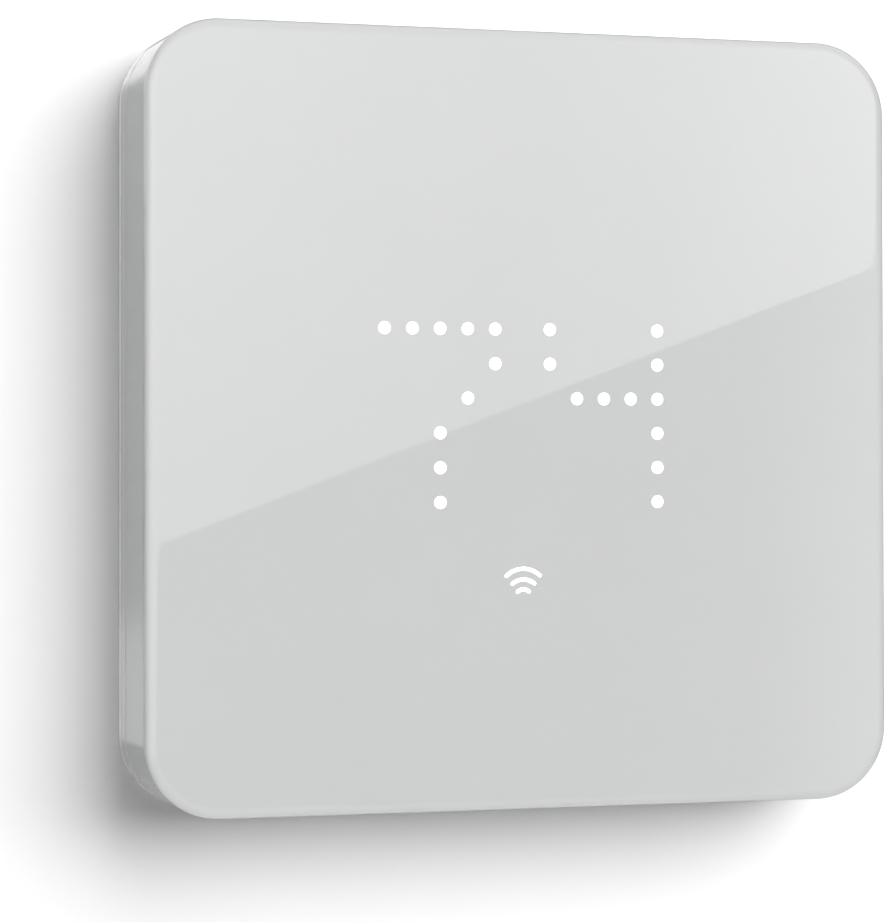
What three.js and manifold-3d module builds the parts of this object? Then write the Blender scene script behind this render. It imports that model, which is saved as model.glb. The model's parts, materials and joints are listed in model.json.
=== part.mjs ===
// Wall thermostat: a square, glossy head that clips onto a thin wall plate.
//
// Everything is drawn in "face space", which is how the thermostat looks from the room: x runs to the
// right, y runs up and z runs out of the wall. The wall touches z = 0 and the front face is at z = DEPTH.
// The outer group turns face space into the part's own frame: +X right, +Z up and -Y out of the wall.
// Its origin is on the wall, in the middle of the wall plate's back face. All sizes are millimetres.

import * as THREE from "three";
import { mergeVertices } from "three/addons/utils/BufferGeometryUtils.js";
import Module from "manifold-3d";

const wasm = await Module();
wasm.setup();

// ---------------------------------------------------------------- driving dimensions

const FACE = 94; // width and height of the square head
const DEPTH = 17; // wall to front face
const CORNER_R = 9; // corner radius of the square, seen from the room
const EDGE = { inset: 2.2, depth: 1.2 }; // elliptical rounding between the front face and the sides
const WALL = 1.6; // thickness of the head's side walls
const GAP = 0.3; // clearance between two pieces that rest on each other
const THROUGH = 1; // how far a cutting shape runs past what it cuts
const BITE = 0.2; // how far two shapes of one piece run into each other
const ARC = 5; // steps in each large corner
const SMALL_ARC = 3; // steps in each small corner
const ROUND = 16; // sides of a small round feature
const COARSE = 12; // sides of a very small round feature

// Layers, from the wall outwards.
const PLATE = { back: 0, front: 1.2, inset: 0.2 };
const REAR = { back: 2.1, floor: 3.3, seam: 5.1, lip: 7.5, lipWall: 1.2 };
const FRAME = { back: 5.7, web: 13.9, front: 15.3 };
const PANEL = { back: 15.6, recess: 16.2, front: DEPTH, rim: 3.6 };

// Boards and display, all inside the head.
const MAIN_BOARD = { back: 9.6, front: 11.2, width: 86, band: 15, bandY: 35.5, neck: 40.8, holeRadius: 1.8 };
const LED_BOARD = { back: 11.5, front: 12.1, leds: 12.65, ledWidth: 1.0, ledHeight: 0.6 };
const BAFFLE = { back: 12.4, front: 14.8, clearance: 0.15, sides: 8 };
const DIFFUSER = { back: 15.05, front: 15.35 };
const TOUCH_FILM = { back: 15.6, front: 15.9, y: -1, width: 62, height: 72 };
const UNDERSIDE = MAIN_BOARD.back - GAP; // where the parts on the main board's back begin

// The dot matrix: two characters, five by six dots each, with one empty column between them.
const DOTS = { columns: 11, rows: 6, pitchX: 3.466, pitchY: 4.167, diameter: 1.6 };
const DISPLAY = { x: -0.93, y: 0.25 }; // centre of the dot matrix
const SYMBOL = { y: -19.6, width: 6.4, height: 5.2, leds: 1.5 }; // light chamber of the wireless symbol
const DISPLAY_BLOCK = { left: -20.3, right: 18.5, bottom: -24.5, top: 13.5, clearance: 0.6 };

// Battery bays, left and right of the display.
const CELL = { radius: 5.25, length: 43.7, nubRadius: 1.9, nub: 0.8, z: 7.75, sides: 24 };
const CELL_X = { inner: 27.5, outer: 38.3 }; // how far each cell stands from the middle
const BAY = { inner: 22, wall: 1, outer: 44.2, end: 26, top: FRAME.web - GAP };
const CONTACT = { thickness: 0.4, back: 3.3, front: 12.3, margin: 4, cone: 2.7, base: 3.2, tip: 1.6 };

// Screws that hold the rear cover and the main board to the frame.
const SCREW_AT = 36.5; // how far each screw stands from the middle, along x and y
const SCREW = { radius: 1.2, headRadius: 2.5, headBack: 2.3, headFront: 3.9, tip: 12.9, taper: 0.8 };
const RECESS = { length: 2.4, width: 0.6, depth: 0.9 };
const BOSS = { front: 3, rear: 3.8 }; // radii of the screw bosses

// Wall plate: its wire opening, its two mounting slots and its snap hooks.
const WIRE_OPENING = { y: 9.5, width: 16, height: 16, radius: 2.5 };
const SLOT = { y: 33, width: 4, length: 9, headRadius: 4.5 };
const HOOK = { x: 26, y: 42.2, width: 6, thickness: 1.2, top: 6.2, barb: 0.5, slope: 1.2, shoulder: 0.4 };
const HOOK_WINDOW = { width: 7, height: 3 };
const RIB = { x: 32.9, y: 14, width: 18, height: 1.4, rise: 0.7 };
const STAKE = { x: 17.6, y: -9.4, radius: 1, rise: 0.5, clearance: 0.4 };

// Terminals on the wall plate.
const BASE_BOARD = { halfWidth: 20.2, bottom: -12, top: 22.5, back: 1.5, front: 2.5, window: 0.5 };
const WAYS = [1, 2, 3, 4]; // the wires of each terminal block
const WAY_PITCH = 5;
const BLOCK = { inner: 9.5, outer: 19.7, back: 2.8, front: 7.6, end: 1 };
const POCKET = { inner: 14.7, outer: 19.1, width: 4.0, floor: 4.2 };
const WIRE_ENTRY = { radius: 1.3, z: 5.2 };
const BUTTON = { inner: 15.0, outer: 18.8, width: 3.4, back: 6.9, front: 8.8, groove: 0.8, grooveDepth: 0.4 };
const CLAMP = { thickness: 0.3, back: 4.5, width: 1.2, inner: 11, outer: 18.6, top: 5.4 };

// Connector between the wall plate and the head.
const PINS = { columns: 4, rows: 2, pitch: 2.54, width: 0.6, hole: 1.3 };
const PLUG = { y: -7.5, header: 7.8, pinTip: 3.9 };
const SOCKET = { back: 2.8, floor: 3.4, front: 7.4, width: 11.4, height: 6.2 };

// Parts on the back of the main board.
const RELAY = { width: 10, height: 6, thickness: 5.65, y: 36.5 };
const RELAY_X = [-25, -13, 13, 25];
const RADIO = { x: -22, y: -35.5, width: 18, height: 12, thickness: 0.8 };
const RADIO_CAN = { x: 2.2, width: 12.4, height: 10.8, thickness: 1.6 };
const CHIP = { x: 24, y: -32.2, size: 7, thickness: 1 };
const CAPACITOR = { x: 18.8, y: -39.9, radius: 2.5, length: 7.6 };
const SENSOR = { x: 32.5, y: -41, size: 2.4, thickness: 0.9 };
const RESET = { x: 12, y: -36.5, size: 4.5, thickness: 2, radius: 1.6, back: 2.4 };
const RESET_FLANGE = { radius: 2.5, depth: 0.8 };

// Air slots in the frame's top and bottom walls.
const VENT = { count: 9, pitch: 4, width: 1.4, back: 7.5, front: 12.5 };

// ---------------------------------------------------------------- materials

function finish(color, roughness, metalness = 0) {
  return new THREE.MeshStandardMaterial({ color, roughness, metalness });
}

const GLOSS_WHITE = finish(0xe4e6e6, 0.12);
const SATIN_WHITE = finish(0xdcdedf, 0.35);
const MATTE_WHITE = finish(0xd4d6d6, 0.55);
const DIFFUSER_WHITE = finish(0xf6f6f4, 0.6);
const BLACK_PLASTIC = finish(0x1c1d1f, 0.5);
const BUTTON_ORANGE = finish(0xd9772b, 0.45);
const TERMINAL_GREY = finish(0x8c9093, 0.5);
const BOARD_GREEN = finish(0x1f5a3a, 0.45);
const FILM_AMBER = finish(0xb9813a, 0.4);
const STEEL = finish(0xb9bcc0, 0.3, 1);
const NICKEL = finish(0xc9c8c2, 0.25, 1);
const CELL_JACKET = finish(0x3c4a57, 0.35, 0.3);

// ---------------------------------------------------------------- building with solids

// A closed three.js geometry as a solid that can be joined and cut.
function solid(geometry) {
  const bare = geometry.clone();
  bare.deleteAttribute("normal");
  bare.deleteAttribute("uv");
  const merged = mergeVertices(bare, 1e-4);
  const vertProperties = new Float32Array(merged.attributes.position.array);
  const triVerts = new Uint32Array(merged.index.array);
  return new wasm.Manifold(new wasm.Mesh({ numProp: 3, vertProperties, triVerts }));
}

// One solid made of several geometries that run into each other.
function join(...geometries) {
  return geometries.map(solid).reduce((whole, next) => whole.add(next));
}

// The body without the space that the tools fill.
function cut(body, ...tools) {
  return body.subtract(join(...tools));
}

function geometryOf(body) {
  const { numProp, numVert, vertProperties, triVerts } = body.getMesh();
  const position = new Float32Array(numVert * 3);
  for (let i = 0; i < numVert; i++) {
    position.set(vertProperties.subarray(i * numProp, i * numProp + 3), i * 3);
  }
  const geometry = new THREE.BufferGeometry();
  geometry.setAttribute("position", new THREE.BufferAttribute(position, 3));
  geometry.setIndex(new THREE.BufferAttribute(new Uint32Array(triVerts), 1));
  geometry.computeVertexNormals();
  return geometry;
}

// ---------------------------------------------------------------- basic shapes

// A box between two distances from the wall, with its middle at x, y.
function block(x, y, width, height, back, front) {
  return new THREE.BoxGeometry(width, height, front - back).translate(x, y, (back + front) / 2);
}

// A box given by its edges.
function box(left, right, bottom, top, back, front) {
  return block((left + right) / 2, (bottom + top) / 2, right - left, top - bottom, back, front);
}

// A cylinder or cone along z, which is out of the wall.
function post(x, y, radius, back, front, frontRadius = radius, sides = ROUND) {
  return new THREE.CylinderGeometry(frontRadius, radius, front - back, sides)
    .rotateX(Math.PI / 2)
    .translate(x, y, (back + front) / 2);
}

// A cylinder or cone along y.
function column(x, z, radius, bottom, top, topRadius = radius, sides = ROUND) {
  return new THREE.CylinderGeometry(topRadius, radius, top - bottom, sides).translate(
    x,
    (bottom + top) / 2,
    z,
  );
}

// A cylinder along x.
function rod(y, z, radius, left, right, sides = ROUND) {
  return new THREE.CylinderGeometry(radius, radius, right - left, sides)
    .rotateZ(Math.PI / 2)
    .translate((left + right) / 2, y, z);
}

// A prism along x, with its outline given as [y, z] points.
function prism(points, left, right) {
  const outline = new THREE.Shape(points.map(([y, z]) => new THREE.Vector2(y, z)));
  const turn = new THREE.Matrix4().makeBasis(
    new THREE.Vector3(0, 1, 0),
    new THREE.Vector3(0, 0, 1),
    new THREE.Vector3(1, 0, 0),
  );
  return new THREE.ExtrudeGeometry(outline, { depth: right - left, bevelEnabled: false })
    .applyMatrix4(turn)
    .translate(left, 0, 0);
}

function roundedRect(width, height, radius) {
  const [x, y] = [width / 2 - radius, height / 2 - radius];
  const shape = new THREE.Shape();
  shape.absarc(x, y, radius, 0, Math.PI / 2);
  shape.absarc(-x, y, radius, Math.PI / 2, Math.PI);
  shape.absarc(-x, -y, radius, Math.PI, 1.5 * Math.PI);
  shape.absarc(x, -y, radius, 1.5 * Math.PI, 2 * Math.PI);
  return shape;
}

function slab(shape, back, front, curveSegments = SMALL_ARC) {
  const options = { depth: front - back, curveSegments, bevelEnabled: false };
  return new THREE.ExtrudeGeometry(shape, options).translate(0, 0, back);
}

// A plate with rounded corners, anywhere on the face.
function pad(x, y, width, height, radius, back, front) {
  return slab(roundedRect(width, height, radius), back, front).translate(x, y, 0);
}

// A plate with the head's outline, made smaller all round by an inset.
function square(inset, back, front) {
  const size = FACE - 2 * inset;
  return slab(roundedRect(size, size, CORNER_R - inset), back, front, ARC);
}

// A wall that follows the head's outline between two insets.
function ring(outerInset, innerInset, back, front) {
  return cut(solid(square(outerInset, back, front)), square(innerInset, back - THROUGH, front + THROUGH));
}

// ---------------------------------------------------------------- places that repeat

const SIDES = [
  ["left", -1],
  ["right", 1],
];

// Every combination of a minus and a plus sign along x and y.
const QUADRANTS = [
  [-1, 1],
  [1, 1],
  [-1, -1],
  [1, -1],
];

// The left and right edge of something between two distances from the middle, on one side.
function span(side, inner, outer) {
  return side < 0 ? [-outer, -inner] : [inner, outer];
}

// Centres of a grid of columns and rows around the origin.
function grid(columns, rows, pitchX, pitchY) {
  const centres = [];
  for (let column = 0; column < columns; column++) {
    for (let row = 0; row < rows; row++) {
      centres.push([(column - (columns - 1) / 2) * pitchX, (row - (rows - 1) / 2) * pitchY]);
    }
  }
  return centres;
}

const DOT_CENTRES = grid(DOTS.columns, DOTS.rows, DOTS.pitchX, DOTS.pitchY).map(([x, y]) => [
  x + DISPLAY.x,
  y + DISPLAY.y,
]);

const PIN_CENTRES = grid(PINS.columns, PINS.rows, PINS.pitch, PINS.pitch);

// ---------------------------------------------------------------- outer shells of the head

// Glossy front panel: a plate with a fully rounded front edge and a shallow recess behind it.
function frontPanel() {
  const middle = 1; // straight stretch between the two rounded edges, of which the rear one is cut off
  const rounded = new THREE.ExtrudeGeometry(roundedRect(FACE, FACE, CORNER_R), {
    depth: middle,
    curveSegments: ARC,
    bevelThickness: EDGE.depth,
    bevelSize: EDGE.inset,
    bevelOffset: -EDGE.inset,
    bevelSegments: ARC,
  }).translate(0, 0, PANEL.front - EDGE.depth - middle);
  const rearHalf = square(-THROUGH, PANEL.front - 2 * EDGE.depth - middle - THROUGH, PANEL.back);
  const recess = square(PANEL.rim, PANEL.back - THROUGH, PANEL.recess);
  return cut(solid(rounded), rearHalf, recess);
}

// Side band of the head, with the web that carries the front panel, screw bosses and air slots.
function midFrame() {
  const wall = ring(0, WALL, FRAME.back, FRAME.front);
  const web = square(WALL - BITE, FRAME.web, FRAME.front);
  const bosses = QUADRANTS.map(([i, j]) =>
    post(i * SCREW_AT, j * SCREW_AT, BOSS.front, MAIN_BOARD.front + GAP, FRAME.web + BITE),
  );
  const screwHoles = QUADRANTS.map(([i, j]) =>
    post(i * SCREW_AT, j * SCREW_AT, SCREW.radius + GAP, MAIN_BOARD.front, SCREW.tip + BITE),
  );
  const displayWindow = displayBlock(
    FRAME.web - THROUGH,
    FRAME.front + THROUGH,
    DISPLAY_BLOCK.clearance,
  );
  const airSlots = grid(VENT.count, 2, VENT.pitch, FACE).map(([x, y]) =>
    block(x, y, VENT.width, 3 * WALL, VENT.back, VENT.front),
  );
  return cut(wall.add(join(web, ...bosses)), displayWindow, ...screwHoles, ...airSlots);
}

// Walls around one battery bay: a partition towards the display and a wall at each end.
function bayWalls(side) {
  const [left, right] = span(side, BAY.inner - BAY.wall, BAY.outer - 0.4);
  const [near, far] = span(side, BAY.inner - BAY.wall, BAY.inner);
  const partition = box(near, far, -BAY.end - BAY.wall, BAY.end + BAY.wall, REAR.back, BAY.top);
  const lower = box(left, right, -BAY.end - BAY.wall, -BAY.end, REAR.back, BAY.top);
  const upper = box(left, right, BAY.end, BAY.end + BAY.wall, REAR.back, BAY.top);
  return [partition, lower, upper];
}

// Openings in the back wall: for the terminals, both battery bays, the mounting screws and the hooks.
function rearWindows() {
  const [back, front] = [REAR.back - THROUGH, REAR.floor + THROUGH];
  const { halfWidth, bottom, top, window } = BASE_BOARD;
  const terminals = box(-halfWidth - window, halfWidth + window, bottom - window, top + window, back, front);
  const bays = SIDES.map(([, side]) =>
    box(...span(side, BAY.inner, BAY.outer), -BAY.end, BAY.end, back, front),
  );
  const screwHeads = [-SLOT.y, SLOT.y].map((y) => post(0, y, SLOT.headRadius, back, front));
  const hooks = QUADRANTS.map(([i, j]) =>
    block(i * HOOK.x, j * HOOK.y, HOOK_WINDOW.width, HOOK_WINDOW.height, back, front),
  );
  const reset = post(RESET.x, RESET.y, RESET.radius + GAP, back, front);
  return [terminals, ...bays, ...screwHeads, ...hooks, reset];
}

// Back of the head: side strip, back wall, battery bays and screw bosses.
function rearCover() {
  const strip = ring(0, WALL, REAR.back, REAR.seam);
  const lip = ring(WALL + GAP, WALL + GAP + REAR.lipWall, REAR.floor - BITE, REAR.lip);
  const backWall = square(WALL - BITE, REAR.back, REAR.floor);
  const bosses = QUADRANTS.map(([i, j]) => post(i * SCREW_AT, j * SCREW_AT, BOSS.rear, REAR.back, UNDERSIDE));
  const counterbores = QUADRANTS.map(([i, j]) =>
    post(i * SCREW_AT, j * SCREW_AT, SCREW.headRadius + GAP, REAR.back - THROUGH, SCREW.headFront + GAP),
  );
  const screwHoles = QUADRANTS.map(([i, j]) =>
    post(i * SCREW_AT, j * SCREW_AT, SCREW.radius + GAP, REAR.back - THROUGH, UNDERSIDE + THROUGH),
  );
  const walls = SIDES.flatMap(([, side]) => bayWalls(side));
  const body = strip.add(lip).add(join(backWall, ...walls, ...bosses));
  return cut(body, ...rearWindows(), ...counterbores, ...screwHoles);
}

// Screw with a cross recess, entering from the back of the head.
function coverScrew() {
  const shaft = post(0, 0, SCREW.radius, SCREW.headBack, SCREW.tip, SCREW.taper * SCREW.radius, COARSE);
  const underHead = SCREW.headRadius;
  const head = post(0, 0, SCREW.taper * underHead, SCREW.headBack, SCREW.headFront, underHead);
  const [back, front] = [SCREW.headBack - THROUGH, SCREW.headBack + RECESS.depth];
  return cut(
    join(shaft, head),
    block(0, 0, RECESS.length, RECESS.width, back, front),
    block(0, 0, RECESS.width, RECESS.length, back, front),
  );
}

// ---------------------------------------------------------------- display

// The outline that the display's layers share.
function displayBlock(back, front, margin = 0) {
  const { left, right, bottom, top } = DISPLAY_BLOCK;
  return box(left - margin, right + margin, bottom - margin, top + margin, back, front);
}

// Light baffle: a round chimney for each dot, and a chamber for the wireless symbol.
function displayBaffle() {
  const [back, front] = [BAFFLE.back - THROUGH, BAFFLE.front + THROUGH];
  const radius = DOTS.diameter / 2 + BAFFLE.clearance;
  const chimneys = DOT_CENTRES.map(([x, y]) => post(x, y, radius, back, front, radius, BAFFLE.sides));
  const chamber = block(DISPLAY.x, SYMBOL.y, SYMBOL.width, SYMBOL.height, back, front);
  return cut(solid(displayBlock(BAFFLE.back, BAFFLE.front)), chamber, ...chimneys);
}

// Board behind the baffle, with a light-emitting chip under each chimney and two for the symbol.
function ledBoard() {
  const symbolCentres = [-SYMBOL.leds, SYMBOL.leds].map((x) => [DISPLAY.x + x, SYMBOL.y]);
  const chips = [...DOT_CENTRES, ...symbolCentres].map(([x, y]) =>
    block(x, y, LED_BOARD.ledWidth, LED_BOARD.ledHeight, LED_BOARD.front - BITE, LED_BOARD.leds),
  );
  return join(displayBlock(LED_BOARD.back, LED_BOARD.front), ...chips);
}

// Thin translucent sheet that softens each dot's light, in front of the baffle.
function displayDiffuser() {
  return solid(displayBlock(DIFFUSER.back, DIFFUSER.front));
}

// Thin film with the touch electrodes, behind the front panel.
function touchFilm() {
  const { y, width, height, back, front } = TOUCH_FILM;
  return solid(pad(0, y, width, height, 3, back, front));
}

// ---------------------------------------------------------------- main board and what it carries

// The board is as wide as the head above and below the batteries, and narrow between them.
function mainBoard() {
  const { back, front, width, band, bandY, neck, holeRadius } = MAIN_BOARD;
  const bands = [-bandY, bandY].map((y) => pad(0, y, width, band, 3, back, front));
  const middle = block(0, 0, neck, 2 * bandY, back, front);
  const holes = QUADRANTS.map(([i, j]) =>
    post(i * SCREW_AT, j * SCREW_AT, holeRadius, back - THROUGH, front + THROUGH),
  );
  return cut(join(middle, ...bands), ...holes);
}

// A box-shaped part on the back of the main board.
function onBoardBack(width, height, thickness) {
  return block(0, 0, width, height, UNDERSIDE - thickness, UNDERSIDE);
}

function relay() {
  return solid(onBoardBack(RELAY.width, RELAY.height, RELAY.thickness));
}

// Radio module: its own small board with a metal can, which leaves the aerial end bare.
function radioModule() {
  const canFront = UNDERSIDE - RADIO.thickness;
  const { x, width, height, thickness } = RADIO_CAN;
  return join(
    onBoardBack(RADIO.width, RADIO.height, RADIO.thickness),
    block(x, 0, width, height, canFront - thickness, canFront + BITE),
  );
}

function processorChip() {
  return solid(onBoardBack(CHIP.size, CHIP.size, CHIP.thickness));
}

function storageCapacitor() {
  const { radius, length } = CAPACITOR;
  return solid(rod(0, UNDERSIDE - radius, radius, -length / 2, length / 2));
}

function temperatureSensor() {
  return solid(onBoardBack(SENSOR.size, SENSOR.size, SENSOR.thickness));
}

function resetSwitch() {
  return solid(onBoardBack(RESET.size, RESET.size, RESET.thickness));
}

// Push button through the rear cover, onto the switch. Its flange keeps it from falling out.
function resetButton() {
  const flangeBack = REAR.floor + GAP;
  return join(
    post(0, 0, RESET.radius, RESET.back, UNDERSIDE - RESET.thickness - GAP),
    post(0, 0, RESET_FLANGE.radius, flangeBack, flangeBack + RESET_FLANGE.depth),
  );
}

// Pin header that reaches back into the wall plate's connector.
function headConnector() {
  const pins = PIN_CENTRES.map(([x, y]) =>
    block(x, y, PINS.width, PINS.width, PLUG.pinTip, PLUG.header + BITE),
  );
  return join(block(0, 0, SOCKET.width, SOCKET.height, PLUG.header, UNDERSIDE), ...pins);
}

// ---------------------------------------------------------------- batteries

// Upright cell with its positive end at the top.
function battery() {
  const bottom = -(CELL.length + CELL.nub) / 2;
  const top = bottom + CELL.length;
  return join(
    column(0, 0, CELL.radius, bottom, top, CELL.radius, CELL.sides),
    column(0, 0, CELL.nubRadius, top - BITE, top + CELL.nub),
  );
}

// Contact plate at the top of a bay, with a sprung cone down to each of the cells it touches.
function batteryContact(...cellX) {
  const outer = BAY.end - GAP;
  const inner = outer - CONTACT.thickness;
  const [left, right] = [Math.min(...cellX) - CONTACT.margin, Math.max(...cellX) + CONTACT.margin];
  const plate = box(left, right, inner, outer, CONTACT.back - CELL.z, CONTACT.front - CELL.z);
  const cones = cellX.map((x) =>
    column(x, 0, CONTACT.tip, inner - CONTACT.cone, inner + CONTACT.thickness / 2, CONTACT.base),
  );
  return join(plate, ...cones);
}

// ---------------------------------------------------------------- wall plate

// Snap hook that stands up from the plate, with a barb on its outer side.
function hook(x, side) {
  const { y, width, thickness, top, barb, slope, shoulder } = HOOK;
  const [inner, outer] = [y - thickness / 2, y + thickness / 2];
  const profile = [
    [inner, PLATE.front - BITE],
    [outer, PLATE.front - BITE],
    [outer, top - slope - shoulder],
    [outer + barb, top - slope],
    [outer, top],
    [inner, top],
  ];
  return prism(
    profile.map(([u, z]) => [side * u, z]),
    x - width / 2,
    x + width / 2,
  );
}

// Thin plate with the wire opening, two mounting slots, snap hooks and ribs behind the batteries.
function wallPlate() {
  const [back, front] = [PLATE.back - THROUGH, PLATE.front + THROUGH];
  const plate = square(PLATE.inset, PLATE.back, PLATE.front);
  const hooks = QUADRANTS.map(([i, j]) => hook(i * HOOK.x, j));
  const ribTop = PLATE.front + RIB.rise;
  const ribs = QUADRANTS.map(([i, j]) =>
    block(i * RIB.x, j * RIB.y, RIB.width, RIB.height, PLATE.front - BITE, ribTop),
  );
  const stakes = [-STAKE.x, STAKE.x].map((x) =>
    post(x, STAKE.y, STAKE.radius, PLATE.front - BITE, BASE_BOARD.front + STAKE.rise),
  );
  const { y, width, height, radius } = WIRE_OPENING;
  const wires = pad(0, y, width, height, radius, back, front);
  const endRadius = 0.499 * SLOT.width;
  const upperSlot = pad(0, SLOT.y, SLOT.length, SLOT.width, endRadius, back, front);
  const lowerSlot = pad(0, -SLOT.y, SLOT.width, SLOT.length, endRadius, back, front);
  return cut(join(plate, ...hooks, ...ribs, ...stakes), wires, upperSlot, lowerSlot);
}

// Small board on the wall plate that joins the terminals to the connector.
function baseBoard() {
  const { halfWidth, bottom, top, back, front } = BASE_BOARD;
  const { y, width, height, radius } = WIRE_OPENING;
  const wires = pad(0, y, width + 2 * GAP, height + 2 * GAP, radius, back - THROUGH, front + THROUGH);
  const stakeHoles = [-STAKE.x, STAKE.x].map((x) =>
    post(x, STAKE.y, STAKE.radius + STAKE.clearance, back - THROUGH, front + THROUGH),
  );
  return cut(solid(box(-halfWidth, halfWidth, bottom, top, back, front)), wires, ...stakeHoles);
}

// Distance of a terminal from the middle of its block, along y.
function wayY(way) {
  return (way - (WAYS.length + 1) / 2) * WAY_PITCH;
}

// Housing of a row of push-in terminals. The wires enter it from the middle of the thermostat.
function terminalBlock(side) {
  const half = (WAYS.length * WAY_PITCH) / 2 + BLOCK.end;
  const body = box(...span(side, BLOCK.inner, BLOCK.outer), -half, half, BLOCK.back, BLOCK.front);
  const pockets = WAYS.map((way) => {
    const [bottom, top] = [wayY(way) - POCKET.width / 2, wayY(way) + POCKET.width / 2];
    return box(...span(side, POCKET.inner, POCKET.outer), bottom, top, POCKET.floor, BLOCK.front + THROUGH);
  });
  const entries = WAYS.map((way) => {
    const [left, right] = span(side, BLOCK.inner - THROUGH, POCKET.inner + BITE);
    return rod(wayY(way), WIRE_ENTRY.z, WIRE_ENTRY.radius, left, right, COARSE);
  });
  return cut(solid(body), ...pockets, ...entries);
}

// Spring-steel clamp under one release button: a flat strip with its end bent up.
function wireClamp(side) {
  const half = CLAMP.width / 2;
  const { inner, outer, back, thickness, top } = CLAMP;
  return join(
    box(...span(side, inner, outer), -half, half, back, back + thickness),
    box(...span(side, outer - thickness, outer), -half, half, back, top),
  );
}

// Release button with a groove for a screwdriver's blade.
function releaseButton(side) {
  const [left, right] = span(side, BUTTON.inner, BUTTON.outer);
  const half = BUTTON.width / 2;
  const grooveFloor = BUTTON.front - BUTTON.grooveDepth;
  return cut(
    solid(box(left, right, -half, half, BUTTON.back, BUTTON.front)),
    block((left + right) / 2, 0, BUTTON.groove, BUTTON.width - THROUGH, grooveFloor, BUTTON.front + THROUGH),
  );
}

function baseConnector() {
  const holes = PIN_CENTRES.map(([x, y]) =>
    block(x, y, PINS.hole, PINS.hole, SOCKET.floor, SOCKET.front + THROUGH),
  );
  return cut(solid(block(0, 0, SOCKET.width, SOCKET.height, SOCKET.back, SOCKET.front)), ...holes);
}

// ---------------------------------------------------------------- assembly

function place(group, name, body, material, x = 0, y = 0, z = 0) {
  const mesh = new THREE.Mesh(geometryOf(body), material);
  mesh.name = name;
  mesh.position.set(x, y, z);
  group.add(mesh);
  return mesh;
}

// What stays on the wall.
const wallSide = new THREE.Group();
place(wallSide, "wall_plate", wallPlate(), MATTE_WHITE);
place(wallSide, "base_board", baseBoard(), BOARD_GREEN);
place(wallSide, "base_connector", baseConnector(), BLACK_PLASTIC, 0, PLUG.y);
for (const [label, side] of SIDES) {
  const blockY = WIRE_OPENING.y;
  place(wallSide, `terminal_block_${label}`, terminalBlock(side), TERMINAL_GREY, 0, blockY);
  for (const way of WAYS) {
    const y = blockY + wayY(way);
    place(wallSide, `wire_clamp_${label}_${way}`, wireClamp(side), STEEL, 0, y);
    place(wallSide, `release_button_${label}_${way}`, releaseButton(side), BUTTON_ORANGE, 0, y);
  }
}

// What comes off with the head.
const head = new THREE.Group();
place(head, "front_panel", frontPanel(), GLOSS_WHITE);
place(head, "mid_frame", midFrame(), SATIN_WHITE);
place(head, "rear_cover", rearCover(), SATIN_WHITE);
place(head, "touch_film", touchFilm(), FILM_AMBER);
place(head, "display_diffuser", displayDiffuser(), DIFFUSER_WHITE);
place(head, "display_baffle", displayBaffle(), BLACK_PLASTIC);
place(head, "led_board", ledBoard(), BOARD_GREEN);
place(head, "main_board", mainBoard(), BOARD_GREEN);
place(head, "head_connector", headConnector(), BLACK_PLASTIC, 0, PLUG.y);
RELAY_X.forEach((x, k) => place(head, `relay_${k + 1}`, relay(), BLACK_PLASTIC, x, RELAY.y));
place(head, "radio_module", radioModule(), NICKEL, RADIO.x, RADIO.y);
place(head, "processor_chip", processorChip(), BLACK_PLASTIC, CHIP.x, CHIP.y);
place(head, "storage_capacitor", storageCapacitor(), BLACK_PLASTIC, CAPACITOR.x, CAPACITOR.y);
place(head, "temperature_sensor", temperatureSensor(), BLACK_PLASTIC, SENSOR.x, SENSOR.y);
place(head, "reset_switch", resetSwitch(), BLACK_PLASTIC, RESET.x, RESET.y);
place(head, "reset_button", resetButton(), MATTE_WHITE, RESET.x, RESET.y);
QUADRANTS.forEach(([i, j], k) =>
  place(head, `cover_screw_${k + 1}`, coverScrew(), STEEL, i * SCREW_AT, j * SCREW_AT),
);

// In each bay one plate joins the two cells at the top, and each cell has its own plate at the bottom.
for (const [label, side] of SIDES) {
  const bridge = batteryContact(side * CELL_X.inner, side * CELL_X.outer);
  place(head, `battery_bridge_${label}`, bridge, NICKEL, 0, 0, CELL.z);
  for (const [where, distance] of Object.entries(CELL_X)) {
    const x = side * distance;
    const cell = place(head, `battery_${label}_${where}`, battery(), CELL_JACKET, x, 0, CELL.z);
    cell.rotation.z = where === "outer" ? Math.PI : 0;
    const contact = place(head, `battery_contact_${label}_${where}`, batteryContact(0), NICKEL, x, 0, CELL.z);
    contact.rotation.z = Math.PI;
  }
}

const thermostat = new THREE.Group();
thermostat.add(wallSide, head);
thermostat.rotation.x = Math.PI / 2;

const part = new THREE.Group();
part.add(thermostat);

export default part;
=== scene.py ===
"""Wall thermostat: looks, stage and camera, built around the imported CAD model.

Lengths in this script are millimetres in "face space", as on the drawing: x to the right, up, and depth
out of the wall. at() turns them into the frame's metres, where the thermostat faces -Y.
"""

import json
import math

import bmesh
import bpy
from mathutils import Matrix, Vector


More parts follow.
